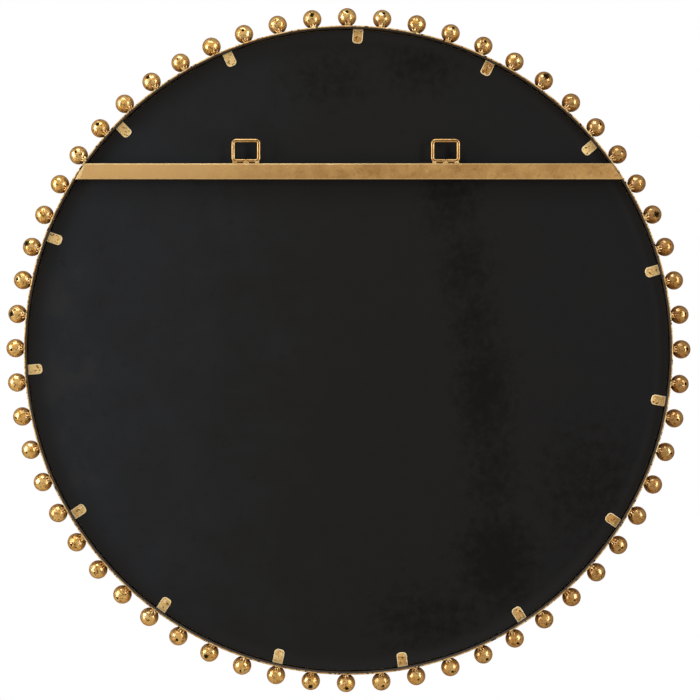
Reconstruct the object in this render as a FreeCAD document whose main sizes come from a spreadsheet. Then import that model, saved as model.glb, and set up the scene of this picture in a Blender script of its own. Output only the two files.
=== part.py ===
import FreeCAD, Part
import math
import os
import Sketcher

# A round wall mirror seen from behind: an iron hoop beaded with sixty balls, the glass and board in it,
# fifteen bent tabs that hold them, and a hanging bar with two wire rings.
# The disc stands in the XZ plane. Its back, where the wall is, faces +Y, and the glass faces -Y.
# The origin is the centre of the hoop in the plane of its back edge.

os.makedirs("parts", exist_ok=True)
doc = FreeCAD.newDocument("round_mirror")
sheet = doc.addObject("Spreadsheet::Sheet", "sizes")

# driving sizes, in millimetres unless the name says degrees or count
driving = {
    "plate_diameter": 762.0,  # glass cut to 30 inches
    "plate_thickness": 4.0,
    "plate_clearance": 3.0,  # glass edge to hoop wall
    "board_thickness": 6.0,
    "board_clearance": 0.5,  # board edge to the tabs' risers
    "hoop_thickness": 2.0,
    "recess_depth": 12.0,  # hoop's back edge to the tabs
    "lip_width": 8.0,
    "lip_thickness": 2.0,
    "tab_width": 12.2,
    "tab_thickness": 1.0,
    "tab_reach": 17.4,  # hoop wall to the tab's tip
    "tab_corner_radius": 4.5,
    "tab_riser_length": 6.0,
    "tab_bend_ease": 0.6,  # taken off the outside of the bend
    "tab_seat_gap": 0.4,  # tab to hoop wall, for the leaf and the weld
    "bar_width": 19.4,
    "bar_thickness": 3.0,
    "bar_height": 212.4,  # bar's middle above the hoop's centre
    "bar_bevel": 1.0,
    "bar_ground_lean_degrees": 17.0,  # the ground corner's inner line, from upright
    "bar_ground_slope_degrees": 13.5,
    "bar_weld_leg": 3.0,
    "bar_weld_setback": 1.0,  # weld's end to the bar's edge
    "ring_width": 35.0,
    "ring_rise": 28.8,  # ring's outer height
    "ring_gap": 0.7,  # bar to ring, bridged by the welds
    "ring_end_gap": 1.0,  # between the wire's two ends
    "ring_bend_radius": 3.5,  # on the wire's centre line
    "ring_place_left": 121.9,  # seen from behind
    "ring_place_right": 115.5,
    "wire_diameter": 4.6,
    "ring_weld_width": 3.4,  # at the wire
    "ring_weld_flare": 0.8,  # wider on each side at the bar
    "ring_weld_depth": 2.4,
    "ring_weld_place": 13.4,  # ring's middle to the lumps under its corners
    "ball_diameter": 22.2,  # 7/8 inch
    "ball_gap": 0.1,  # bridged by the weld
    "ball_weld_width": 5.6,
    "ball_weld_reach": 5.2,  # hoop wall to the bead's outer face
    "ball_weld_length": 9.6,  # along the hoop wall, from the ball's middle
    "ball_count": 60.0,
    "ball_sides_count": 10.0,  # flats round one ball, few because sixty repeat
    "ball_bands_count": 6.0,
    "wire_sides_count": 12.0,
    "ring_bend_chords_count": 3.0,
    "ball_start_degrees": -0.1,
    "ball_drift_degrees": 0.4,  # the balls were set by eye, so their pitch wanders
    "ball_swing_degrees": 0.27,
    "ball_drift_start_degrees": 53.0,
}
for row, (alias, number) in enumerate(driving.items(), 1):
    sheet.set(f"A{row}", alias)
    sheet.set(f"B{row}", str(number))
    sheet.setAlias(f"B{row}", alias)
doc.recompute()

# sizes that follow from them, as formulas that both the sketches and this script read
hoopInner = "(sizes.plate_diameter / 2 + sizes.plate_clearance)"
hoopOuter = f"({hoopInner} + sizes.hoop_thickness)"
boardBack = "(sizes.recess_depth + sizes.tab_thickness)"
plateBack = f"({boardBack} + sizes.board_thickness)"
lipBack = f"({plateBack} + sizes.plate_thickness)"
hoopDepth = f"({lipBack} + sizes.lip_thickness)"
tabSeat = f"sqrt(({hoopInner} - sizes.tab_seat_gap)^2 - sizes.tab_width^2 / 4)"  # flat strip, round wall
riserInner = f"({tabSeat} - sizes.tab_thickness)"
boardRadius = f"({riserInner} - sizes.board_clearance)"
barTop = "(sizes.bar_height + sizes.bar_width / 2)"
barBottom = "(sizes.bar_height - sizes.bar_width / 2)"
wireRadius = "(sizes.wire_diameter / 2)"
wireHalf = "(sizes.ring_width / 2 - sizes.wire_diameter / 2)"
wireLow = f"({barTop} + sizes.ring_gap + sizes.wire_diameter / 2)"
wireHigh = f"({wireLow} + sizes.ring_rise - sizes.wire_diameter)"

# where each tab sits, as shares of the even pitch from its even place, and how far its axis leans
tabShares = [-0.06, 0.0, -0.01, 0.01, 0.01, -0.02, -0.03, -0.02,
             0.12, 0.09, 0.05, -0.01, -0.05, -0.03, -0.05]
tabLeans = [1.5, 0.5, 0.0, -3.0, 2.5, -2.0, 1.5, 1.0, 2.0, 2.5, 1.0, -3.5, -0.5, -1.0, -0.5]
firstTabDegrees = 16.0

endsWeldShare = 1.4  # how much wider the lump of weld under a ring's two ends is than the others

outward = FreeCAD.Vector(0, 1, 0)  # out of the back
upward = FreeCAD.Vector(0, 0, 1)
subParts = []


def value(formula):
    """The plain number that a formula of the sheet's sizes comes to."""
    result = sheet.evalExpression(formula.replace("sizes.", ""))
    return float(getattr(result, "Value", result))


def named(item, label):
    item.Label = label
    subParts.append(item)
    return item


def newBody(name):
    return named(doc.addObject("PartDesign::Body", name), name)


def newSketch(body, name, role, offset=None):
    """A sketch on one of the body's own origin planes, moved along its normal by a formula."""
    sketch = body.newObject("Sketcher::SketchObject", name)
    plane = next(feature for feature in body.Origin.OriginFeatures if feature.Role == role)
    sketch.AttachmentSupport = (plane, [""])
    sketch.MapMode = "FlatFace"
    if offset:
        sketch.setExpression(".AttachmentOffset.Base.z", offset)
    return sketch


def bind(sketch, kind, *where, formula):
    """A dimension of the sketch, held to a formula."""
    at = sketch.addConstraint(Sketcher.Constraint(kind, *where, value(formula)))
    sketch.setExpression(f"Constraints[{at}]", formula)


def tie(sketch, kind, *where):
    sketch.addConstraint(Sketcher.Constraint(kind, *where))


def addCircle(sketch, radius):
    at = sketch.addGeometry(Part.Circle(FreeCAD.Vector(), upward, value(radius)))
    tie(sketch, "Coincident", at, 3, -1, 1)
    bind(sketch, "Radius", at, formula=radius)


def addLines(sketch, points):
    """A closed outline of straight lines through points, joined end to start."""
    corners = [FreeCAD.Vector(x, y, 0) for x, y in points]
    for start, end in zip(corners, corners[1:] + corners[:1]):
        sketch.addGeometry(Part.LineSegment(start, end))
    for at in range(len(corners)):
        tie(sketch, "Coincident", at, 2, (at + 1) % len(corners), 1)


def addPad(body, sketch, length):
    pad = body.newObject("PartDesign::Pad", body.Name + "_pad")
    pad.Profile = sketch
    pad.setExpression("Length", length)
    sketch.Visibility = False
    return pad


def near(a, b):
    return math.isclose(a, b, abs_tol=100 * Part.Precision.confusion())


def edgesWhere(shape, test, through=False):
    """The names of the edges whose every vertex passes a test, or of those that run front to back."""
    names = []
    for number, edge in enumerate(shape.Edges, 1):
        first, last = edge.Vertexes[0].Point, edge.Vertexes[-1].Point
        straight = near(first.x, last.x) and near(first.z, last.z)
        if test(first) and test(last) and (straight or not through):
            names.append(f"Edge{number}")
    return names


def addEdgeCut(body, kind, names, size):
    """A fillet or a chamfer of a given size on edges of what the body holds so far."""
    base = body.Tip
    cut = body.newObject(f"PartDesign::{kind}", f"{body.Name}_{kind.lower()}")
    cut.Base = (base, names)
    cut.setExpression("Radius" if kind == "Fillet" else "Size", size)
    doc.recompute()


def roundPlate(name, back, thickness, outer, inner=None):
    """A disc or a flat ring whose back face lies a given depth in front of the wall plane."""
    body = newBody(name)
    sketch = newSketch(body, name + "_outline", "XZ_Plane", back)
    addCircle(sketch, outer)
    if inner:
        addCircle(sketch, inner)
    addPad(body, sketch, thickness)
    return body


def addTab(number, turn, lean):
    """A strip bent over the board: one block, hollowed under the flange, its corners and bend eased."""
    body = newBody(f"retaining_tab_{number:02d}")
    outline = newSketch(body, body.Name + "_outline", "XZ_Plane", "sizes.recess_depth")
    seat, reach, half = value(tabSeat), value("sizes.tab_reach"), value("sizes.tab_width / 2")
    slope = math.tan(math.radians(lean))
    tip = seat - reach
    shift = slope * reach
    addLines(outline, [(seat, half), (tip, half + shift), (tip, -half + shift), (seat, -half)])
    tie(outline, "Parallel", 0, 2)
    tie(outline, "Perpendicular", 0, 1)
    tie(outline, "Symmetric", 3, 1, 3, 2, -1)
    bind(outline, "DistanceX", -1, 1, 3, 1, formula=tabSeat)
    bind(outline, "Distance", 2, 1, 0, formula="sizes.tab_width")
    bind(outline, "Distance", 0, formula=f"sizes.tab_reach - sizes.tab_width / 2 * {slope}")
    outline.addConstraint(Sketcher.Constraint("Angle", 0, math.radians(180 - lean)))
    addPad(body, outline, "sizes.tab_thickness + sizes.tab_riser_length")

    side = newSketch(body, body.Name + "_side", "XY_Plane")
    inner, top = value(riserInner), -value(boardBack)
    bottom = top - value("sizes.tab_riser_length")
    clear = value(f"{tabSeat} - 2 * sizes.tab_reach")
    addLines(side, [(inner, top), (inner, bottom), (clear, bottom), (clear, top)])
    for at, kind in enumerate(["Vertical", "Horizontal", "Vertical", "Horizontal"]):
        tie(side, kind, at)
    bind(side, "DistanceX", -1, 1, 0, 1, formula=riserInner)
    bind(side, "DistanceY", 0, 1, -1, 1, formula=boardBack)
    bind(side, "DistanceY", 0, 2, 0, 1, formula="sizes.tab_riser_length")
    bind(side, "DistanceX", 2, 1, 0, 2, formula=f"{riserInner} - {tabSeat} + 2 * sizes.tab_reach")
    hollow = body.newObject("PartDesign::Pocket", body.Name + "_hollow")
    hollow.Profile = side
    hollow.Type = "ThroughAll"
    hollow.Midplane = True
    doc.recompute()

    corners = edgesWhere(body.Tip.Shape, lambda p: p.x < seat - reach / 2, through=True)
    addEdgeCut(body, "Fillet", corners, "sizes.tab_corner_radius")
    back = -value("sizes.recess_depth")
    bend = edgesWhere(body.Tip.Shape, lambda p: near(p.y, back) and near(p.x, seat))
    addEdgeCut(body, "Chamfer", bend, "sizes.tab_bend_ease")
    body.Placement = FreeCAD.Placement(FreeCAD.Vector(), FreeCAD.Rotation(outward, 180 + turn))


def addBar():
    """A flat bar whose ends are cut to the hoop's inner wall, its two long back edges bevelled."""
    body = newBody("hanging_bar")
    sketch = newSketch(body, "hanging_bar_outline", "XZ_Plane")
    radius, top, bottom = value(hoopInner), value(barTop), value(barBottom)
    topTurn, bottomTurn = math.asin(top / radius), math.asin(bottom / radius)
    wall = Part.Circle(FreeCAD.Vector(), upward, radius)
    sketch.addGeometry(Part.ArcOfCircle(wall, bottomTurn, topTurn))
    sketch.addGeometry(Part.ArcOfCircle(wall, math.pi - topTurn, math.pi - bottomTurn))
    for level, turn in ((top, topTurn), (bottom, bottomTurn)):
        half = radius * math.cos(turn)
        ends = FreeCAD.Vector(half, level, 0), FreeCAD.Vector(-half, level, 0)
        sketch.addGeometry(Part.LineSegment(*ends))
    for arc in (0, 1):
        tie(sketch, "Coincident", arc, 3, -1, 1)
    tie(sketch, "Equal", 0, 1)
    tie(sketch, "Coincident", 2, 1, 0, 2)
    tie(sketch, "Coincident", 2, 2, 1, 1)
    tie(sketch, "Coincident", 3, 1, 0, 1)
    tie(sketch, "Coincident", 3, 2, 1, 2)
    tie(sketch, "Horizontal", 2)
    tie(sketch, "Horizontal", 3)
    bind(sketch, "Radius", 0, formula=hoopInner)
    bind(sketch, "DistanceY", -1, 1, 2, 1, formula=barTop)
    bind(sketch, "DistanceY", -1, 1, 3, 1, formula=barBottom)
    addPad(body, sketch, "sizes.bar_thickness")
    doc.recompute()
    names = [name for level in (top, bottom)
             for name in edgesWhere(body.Tip.Shape, lambda p: near(p.y, 0) and near(p.z, level))]
    addEdgeCut(body, "Chamfer", names, "sizes.bar_bevel")
    addGroundCorner(body)


def addGroundCorner(body):
    """The bar's +X end ground off below its top corner, by a box leant along the wall and tipped inward."""
    cut = body.newObject("PartDesign::SubtractiveBox", "hanging_bar_ground_corner")
    cut.setExpression("Length", "2 * sizes.bar_width")
    cut.setExpression("Width", "sizes.bar_thickness")
    cut.setExpression("Height", "sizes.bar_width")
    lean = FreeCAD.Rotation(outward, 90 - value("sizes.bar_ground_lean_degrees"))
    tip = FreeCAD.Rotation(FreeCAD.Vector(1, 0, 0), value("sizes.bar_ground_slope_degrees"))
    cut.Placement = FreeCAD.Placement(FreeCAD.Vector(), lean * tip)
    cut.setExpression(".Placement.Base.x", f"sqrt({hoopInner}^2 - {barTop}^2)")
    cut.setExpression(".Placement.Base.z", barTop)
    doc.recompute()


def addBarWelds():
    """The fillets of weld under the bar's ends: a triangle turned along the hoop's wall, cut to the bar."""
    body = doc.addObject("PartDesign::Body", "bar_weld_run")
    sketch = newSketch(body, "bar_weld_profile", "XY_Plane")
    wall, seat, leg = value(hoopInner), -value("sizes.bar_thickness"), value("sizes.bar_weld_leg")
    addLines(sketch, [(wall, seat), (wall - leg, seat), (wall, seat - leg)])
    tie(sketch, "Horizontal", 0)
    tie(sketch, "Vertical", 2)
    bind(sketch, "DistanceX", -1, 1, 0, 1, formula=hoopInner)
    bind(sketch, "DistanceY", 0, 1, -1, 1, formula="sizes.bar_thickness")
    bind(sketch, "DistanceX", 0, 2, 0, 1, formula="sizes.bar_weld_leg")
    bind(sketch, "DistanceY", 2, 1, 2, 2, formula="sizes.bar_weld_leg")
    turned = body.newObject("PartDesign::Revolution", "bar_weld_turned")
    turned.Profile = sketch
    turned.ReferenceAxis = (sketch, ["V_Axis"])
    turned.Angle = 360
    band = doc.addObject("Part::Box", "bar_weld_band")
    band.setExpression("Length", f"2 * {hoopInner}")
    band.setExpression("Width", "sizes.bar_thickness + sizes.bar_weld_leg")
    band.setExpression("Height", "sizes.bar_width - 2 * sizes.bar_weld_setback")
    band.setExpression(".Placement.Base.x", f"-{hoopInner}")
    band.setExpression(".Placement.Base.y", "-sizes.bar_thickness - sizes.bar_weld_leg")
    band.setExpression(".Placement.Base.z", f"{barBottom} + sizes.bar_weld_setback")
    welds = doc.addObject("Part::Common", "bar_welds")
    welds.Base = body
    welds.Tool = band
    named(welds, "bar_welds")


def addRing(name, place):
    """A ring of wire: one run bent round four corners, its two ends facing each other over the bar."""
    body = newBody(name)
    path = newSketch(body, name + "_path", "XZ_Plane", wireRadius)
    bend, chords = "sizes.ring_bend_radius", int(value("sizes.ring_bend_chords_count"))
    stops = [("sizes.ring_end_gap / 2", wireLow)]
    for quarter, (x, z) in enumerate([(1, wireLow), (1, wireHigh), (-1, wireHigh), (-1, wireLow)]):
        rise = 1 if z == wireLow else -1
        for chord in range(chords + 1):
            turn = math.pi / 2 * (quarter - 1 + chord / chords)
            stops.append((f"{x} * ({wireHalf} - {bend}) + {bend} * {math.cos(turn)}",
                          f"{z} + {rise} * {bend} + {bend} * {math.sin(turn)}"))
    stops.append(("-sizes.ring_end_gap / 2", wireLow))
    addRun(path, stops)
    section = newSketch(body, name + "_section", "YZ_Plane", "sizes.ring_end_gap / 2")
    sides = int(value("sizes.wire_sides_count"))
    corners = []
    for side in range(sides):
        turn = 2 * math.pi * side / sides
        corners.append((f"{wireRadius} * ({math.cos(turn)} - 1)",
                        f"{wireLow} + {wireRadius} * {math.sin(turn)}"))
    addRun(section, corners, closed=True)
    wire = body.newObject("PartDesign::AdditivePipe", name + "_wire")
    wire.Profile = section
    wire.Spine = (path, [f"Edge{n}" for n in range(1, len(stops))])
    wire.Transition = "Right corner"
    body.setExpression(".Placement.Base.x", place)
    doc.recompute()
    return body


def addRun(sketch, stops, closed=False):
    """Straight lines from stop to stop, each stop held to two formulas."""
    points = [FreeCAD.Vector(value(x), value(y), 0) for x, y in stops]
    ends = points[1:] + points[:1] if closed else points[1:]
    for start, end in zip(points, ends):
        sketch.addGeometry(Part.LineSegment(start, end))
    for at in range(len(ends) if closed else len(ends) - 1):
        tie(sketch, "Coincident", at, 2, (at + 1) % len(ends), 1)
    for at, (x, y) in enumerate(stops):
        line, end = (at, 1) if at < len(ends) else (at - 1, 2)
        bind(sketch, "DistanceX", -1, 1, line, end, formula=x)
        bind(sketch, "DistanceY", -1, 1, line, end, formula=y)


def addRingWelds(name, ring, place):
    """Three lumps of weld flared down to the bar's edge: one closes the wire's ends, two carry its corners."""
    lumps = []
    for at, (side, share) in enumerate([(0, endsWeldShare), (1, 1), (-1, 1)]):
        flared = doc.addObject("Part::Wedge", f"{name}_flared_{at}")
        half = f"({share} * sizes.ring_weld_width / 2)"
        for end, width in (("", f"({half} + sizes.ring_weld_flare)"), ("2", half)):
            flared.setExpression(f"X{end}min", f"-{width}")
            flared.setExpression(f"X{end}max", width)
            flared.setExpression(f"Z{end}min", "(sizes.bar_thickness - sizes.ring_weld_depth) / 2")
            flared.setExpression(f"Z{end}max", "(sizes.bar_thickness + sizes.ring_weld_depth) / 2")
        flared.Ymin = 0
        flared.setExpression("Ymax", f"sizes.ring_gap + {wireRadius}")
        flared.Placement.Rotation = FreeCAD.Rotation(FreeCAD.Vector(1, 0, 0), 90)
        flared.setExpression(".Placement.Base.x", f"{place} + {side} * sizes.ring_weld_place")
        flared.setExpression(".Placement.Base.z", barTop)
        lump = doc.addObject("Part::Cut", f"{name}_lump_{at}")
        lump.Base = flared
        lump.Tool = ring
        lumps.append(lump)
    welds = doc.addObject("Part::Compound", name)
    welds.Links = lumps
    named(welds, name)


def ballShape():
    """One ball at the hoop's +X side: flats between points on the sphere, poles on the hoop's radius."""
    radius = value("sizes.ball_diameter / 2")
    middle = FreeCAD.Vector(value(f"{hoopOuter} + sizes.ball_gap") + radius, -value(f"{hoopDepth} / 2"), 0)
    sides, bands = int(value("sizes.ball_sides_count")), int(value("sizes.ball_bands_count"))

    def spot(band, side):
        polar, turn = math.pi * band / bands, 2 * math.pi * side / sides
        across = math.sin(polar)
        offset = FreeCAD.Vector(-math.cos(polar), across * math.cos(turn), across * math.sin(turn))
        return middle + offset * radius

    flats = []
    for band in range(bands):
        for side in range(sides):
            ring = [spot(band, side), spot(band, side + 1), spot(band + 1, side + 1), spot(band + 1, side)]
            corners = [p for n, p in enumerate(ring)
                       if not p.isEqual(ring[n - 1], Part.Precision.confusion())]
            flats.append(Part.Face(Part.makePolygon(corners + corners[:1])))
    return Part.Solid(Part.Shell(flats))


def ballWeldShape(ball):
    """The bead behind one ball: a block on the hoop's wall that the ball is pressed into."""
    wall, back = value(hoopOuter), -value(f"{hoopDepth} / 2")
    reach, length, width = (value(f"sizes.ball_weld_{side}") for side in ("reach", "length", "width"))
    block = Part.makeBox(reach, length, width, FreeCAD.Vector(wall, back, -width / 2))
    return block.cut(ball)


def ballTurns():
    """Where the balls sit, in degrees: an even pitch with the slow wander of work done by eye."""
    count = int(value("sizes.ball_count"))
    first, drift, swing, start = (value(f"sizes.ball_{part}_degrees")
                                  for part in ("start", "drift", "swing", "drift_start"))
    for number in range(count):
        even = 360 * number / count
        once, twice = math.radians(even - start), math.radians(2 * even)
        yield first + even + drift * math.cos(once) - swing * math.sin(twice)


def addRoundTheHoop(name, shape):
    """Copies of one solid at the +X side, turned about the mirror's axis to every ball's place."""
    copies = []
    for turn in ballTurns():
        copy = shape.copy()
        copy.rotate(FreeCAD.Vector(), outward, 180 + turn)
        copies.append(copy)
    group = named(doc.addObject("Part::Feature", name), name)
    group.Shape = Part.makeCompound(copies)


roundPlate("outer_hoop", "0", hoopDepth, hoopOuter, hoopInner)
roundPlate("front_lip", lipBack, "sizes.lip_thickness", hoopInner, f"{hoopInner} - sizes.lip_width")
roundPlate("mirror_plate", plateBack, "sizes.plate_thickness", "sizes.plate_diameter / 2")
roundPlate("backing_board", boardBack, "sizes.board_thickness", boardRadius)
for number, (share, lean) in enumerate(zip(tabShares, tabLeans), 1):
    pitch = 360 / len(tabShares)
    addTab(number, firstTabDegrees + (number - 1 + share) * pitch, lean)
addBar()
addBarWelds()
for side, place in (("left", "sizes.ring_place_left"), ("right", "-sizes.ring_place_right")):
    ring = addRing(f"hanger_ring_{side}", place)
    addRingWelds(f"ring_welds_{side}", ring, place)
seedBall = ballShape()
addRoundTheHoop("rim_balls", seedBall)
addRoundTheHoop("ball_welds", ballWeldShape(seedBall))
doc.recompute()

for item in doc.Objects:
    if "Invalid" in item.State or "Error" in item.State:
        raise RuntimeError(f"{item.Label} failed to build")
for part in subParts:
    if part.Shape.isNull() or not part.Shape.isValid():
        raise RuntimeError(f"{part.Label} has no valid shape")
for part in subParts:
    part.Shape.exportStep(f"parts/{part.Label}.step")
    print(part.Label, len(part.Shape.Solids), "solids", round(part.Shape.Volume), "mm3")
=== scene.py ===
import bmesh
import bpy
import math
from mathutils import Matrix, Vector, noise


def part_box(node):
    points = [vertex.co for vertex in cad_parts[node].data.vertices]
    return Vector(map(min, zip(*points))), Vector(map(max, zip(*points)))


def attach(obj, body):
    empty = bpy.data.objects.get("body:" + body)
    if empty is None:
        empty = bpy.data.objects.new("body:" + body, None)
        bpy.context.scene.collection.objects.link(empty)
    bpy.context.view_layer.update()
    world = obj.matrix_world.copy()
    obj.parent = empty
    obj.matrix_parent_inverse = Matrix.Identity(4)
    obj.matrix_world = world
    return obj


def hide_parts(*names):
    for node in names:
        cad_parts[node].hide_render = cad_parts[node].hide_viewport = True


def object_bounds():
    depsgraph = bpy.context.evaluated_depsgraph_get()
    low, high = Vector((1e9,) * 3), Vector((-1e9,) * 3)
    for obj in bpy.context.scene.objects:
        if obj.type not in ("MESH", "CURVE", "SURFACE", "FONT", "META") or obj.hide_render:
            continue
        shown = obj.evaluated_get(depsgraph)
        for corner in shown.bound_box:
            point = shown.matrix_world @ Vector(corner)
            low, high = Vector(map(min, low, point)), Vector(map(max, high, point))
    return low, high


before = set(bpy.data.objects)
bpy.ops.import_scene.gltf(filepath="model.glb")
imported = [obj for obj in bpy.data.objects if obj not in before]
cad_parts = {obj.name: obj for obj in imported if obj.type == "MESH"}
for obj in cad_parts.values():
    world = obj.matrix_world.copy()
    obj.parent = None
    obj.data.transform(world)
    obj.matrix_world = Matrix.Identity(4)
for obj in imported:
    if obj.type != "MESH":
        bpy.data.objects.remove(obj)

# A round wall mirror seen from its back: gilded hoop, sixty gilded balls, black board, bent tabs,
# a hanging bar and two wire rings. The back faces +Y, and all sizes are in metres unless named Mm.

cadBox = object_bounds()
mm = 0.001
print("frame loaded:", len(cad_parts), "nodes")


# small helpers

def linear(hexColour):  # an sRGB hex value as linear RGBA
    parts = [int(hexColour[at:at + 2], 16) / 255 for at in (1, 3, 5)]
    return [p / 12.92 if p <= 0.04045 else ((p + 0.055) / 1.055) ** 2.4 for p in parts] + [1.0]


def addNode(tree, kind, inputs=None, **settings):  # a node with its settings, then values or links
    node = tree.nodes.new(kind)
    for name, setting in settings.items():
        setattr(node, name, setting)
    for socket, given in (inputs or {}).items():
        if isinstance(given, bpy.types.NodeSocket):
            tree.links.new(given, node.inputs[socket])
        else:
            node.inputs[socket].default_value = given
    return node


def setRamp(ramp, stops):  # a colour ramp's stops, the first and last of which it already has
    ramp.elements[0].position, ramp.elements[1].position = stops[0][0], stops[-1][0]
    ramp.elements[0].color, ramp.elements[1].color = stops[0][1], stops[-1][1]
    for position, colour in stops[1:-1]:
        ramp.elements.new(position).color = colour


def seenSharp(tree):  # the light path, and 1 where the camera, a clear pane or a mirror looks
    rays = addNode(tree, "ShaderNodeLightPath").outputs
    sharp = rays["Is Camera Ray"]
    for kind in ("Is Transmission Ray", "Is Singular Ray"):
        sharp = addNode(tree, "ShaderNodeMath", {0: sharp, 1: rays[kind]}, operation="MAXIMUM").outputs[0]
    return rays, sharp


def newMaterial(name):
    material = bpy.data.materials.new(name)
    material.use_nodes = True
    return material, material.node_tree, material.node_tree.nodes["Principled BSDF"]


def setInputs(shader, values):  # what is the same all over the surface
    for socket, value in values.items():
        shader.inputs[socket].default_value = value


def newPiece(name, mesh, *materials):
    piece = bpy.data.objects.new(name, mesh)
    bpy.context.scene.collection.objects.link(piece)
    for material in materials:
        mesh.materials.append(material)
    return piece


def finishPiece(piece, slot, *nodes):  # what every finished piece needs
    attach(piece, "root")
    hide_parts(*nodes)


def smoothShade(mesh, creaseDegrees):
    mesh.polygons.foreach_set("use_smooth", [True] * len(mesh.polygons))
    mesh.set_sharp_from_angle(angle=math.radians(creaseDegrees))


def joinRings(bm, rings):  # faces from each ring of points to the next
    for first, second in zip(rings, rings[1:]):
        for n in range(len(first)):
            after = (n + 1) % len(first)
            bm.faces.new((first[n], first[after], second[after], second[n]))


def meshOf(bm, name):
    mesh = bpy.data.meshes.new(name)
    bm.to_mesh(mesh)
    bm.free()
    return mesh


def bakedMesh(piece, name):  # the evaluated shape as a plain mesh
    shaped = piece.evaluated_get(bpy.context.evaluated_depsgraph_get())
    mesh = bpy.data.meshes.new_from_object(shaped)
    mesh.name = name
    return mesh


# materials: all the metal is iron under imitation gold leaf, toned with a brown glaze and lacquered

leafLook = {
    "leafLight": "#F0BF60", "leafDeep": "#C48A2E", "toneMm": 12.0, "toneSpread": 0.15,
    "glaze": "#6B3C12", "glazeMm": 2.6, "glazeFrom": 0.5, "glazeBlend": 0.16, "glazeShare": 0.55,
    "flake": "#FBE9BE", "flakeMm": 3.0, "flakeFrom": 0.58, "flakeBlend": 0.05, "flakeShare": 0.5,
    "fleck": "#22120A", "fleckMm": 2.2, "fleckFrom": 0.66, "fleckBlend": 0.04, "fleckShare": 0.85,
    "grazing": "#C08438", "specular": 0.1, "roughness": 0.36, "creaseRoughness": (-0.06, 0.1),
    "lacquer": 1.0, "lacquerRoughness": 0.07, "lacquerIor": 1.7,
    "metallic": 1.0,  # lower where the leaf lies under tinted lacquer that scatters
    "glazeMetallic": 0.25,  # glaze, bole and broken leaf scatter light, and only the leaf mirrors it
    "wrinkleMm": 2.2, "wrinkleReliefMm": 0.3, "dentMm": 7.0, "dentReliefMm": 0.5,
    "ownTone": 0.0,  # above 0: the piece brings its tone, and the sheets vary it by this much
    "pools": [],  # where glaze lies thick, and painted shade and painted light: (measured from, colour, from mm, to mm, share)
    "raggedMm": 0.0, "raggedSizeMm": 3.0,  # how far the edges of glaze, painted shade and painted light wander, and over what length
    "layersApart": 3.7,  # keeps glaze, flakes and flecks off the same spots
}
hoopLow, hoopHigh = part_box("outer_hoop")
hoopOuter = hoopHigh.x
hoopMiddle = (hoopLow.y + hoopHigh.y) / 2
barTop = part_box("hanging_bar")[1].z


def distancesIn(tree, where):  # what glaze, painted shade and painted light are measured from
    upright = addNode(tree, "ShaderNodeVectorMath", {0: where, 1: (1, 0, 1)}, operation="MULTIPLY")
    fromAxis = addNode(tree, "ShaderNodeVectorMath", {0: upright.outputs[0]}, operation="LENGTH")
    outward = addNode(tree, "ShaderNodeMath", {0: fromAxis.outputs["Value"], 1: hoopOuter},
                      operation="SUBTRACT")
    apart = addNode(tree, "ShaderNodeSeparateXYZ", {"Vector": where}).outputs
    depth = addNode(tree, "ShaderNodeMath", {0: apart["Y"], 1: hoopMiddle}, operation="SUBTRACT")
    deep = addNode(tree, "ShaderNodeMath", {0: depth.outputs[0]}, operation="ABSOLUTE")
    above = addNode(tree, "ShaderNodeMath", {0: apart["Z"], 1: barTop}, operation="SUBTRACT")
    crown = addNode(tree, "ShaderNodeAttribute", attribute_name="offCrown").outputs["Fac"]
    # outward from the hoop, from its mid depth, sideways, up from the bar's top, off the wire's crown
    return {"wall": outward.outputs[0], "middle": deep.outputs[0], "side": apart["X"],
            "above": above.outputs[0], "crown": crown}


def leafTone(tree, where, look):  # sheets of leaf differ in tone, and a piece may bring a tone of its own
    tone = addNode(tree, "ShaderNodeTexNoise", {
        "Vector": where, "Scale": 1 / (look["toneMm"] * mm), "Detail": 3.0, "Roughness": 0.6})
    share = addNode(tree, "ShaderNodeMapRange", {
        "Value": tone.outputs["Fac"], "From Min": 0.5 - look["toneSpread"],
        "From Max": 0.5 + look["toneSpread"]}).outputs["Result"]
    if look["ownTone"]:
        own = addNode(tree, "ShaderNodeAttribute", attribute_name="tone").outputs["Fac"]
        varied = addNode(tree, "ShaderNodeMath", {0: share, 1: look["ownTone"], 2: own},
                         operation="MULTIPLY_ADD")
        share = addNode(tree, "ShaderNodeMath", {0: varied.outputs[0], 1: look["ownTone"] / 2},
                        operation="SUBTRACT").outputs[0]
    return addNode(tree, "ShaderNodeMix", {
        0: share, 6: linear(look["leafDeep"]), 7: linear(look["leafLight"])}, data_type="RGBA").outputs[2]


def leafLayers(tree, where, look, colour, bright):  # glaze in the creases, doubled leaf, broken leaf
    for step, layer in enumerate(("glaze", "flake", "fleck")):
        patch = addNode(tree, "ShaderNodeTexNoise", {
            "Vector": where, "W": step * look["layersApart"], "Scale": 1 / (look[layer + "Mm"] * mm),
            "Detail": 3.0, "Roughness": 0.6, "Distortion": 0.8}, noise_dimensions="4D")
        share = addNode(tree, "ShaderNodeMapRange", {
            "Value": patch.outputs["Fac"], "From Min": look[layer + "From"],
            "From Max": look[layer + "From"] + look[layer + "Blend"], "To Max": look[layer + "Share"]})
        colour = addNode(tree, "ShaderNodeMix", {
            0: share.outputs["Result"], 6: colour, 7: linear(look[layer])}, data_type="RGBA").outputs[2]
        if layer != "flake":
            bright = addNode(tree, "ShaderNodeMix", {
                0: share.outputs["Result"], 2: bright, 3: look["glazeMetallic"]}).outputs[0]
    return colour, bright


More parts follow.
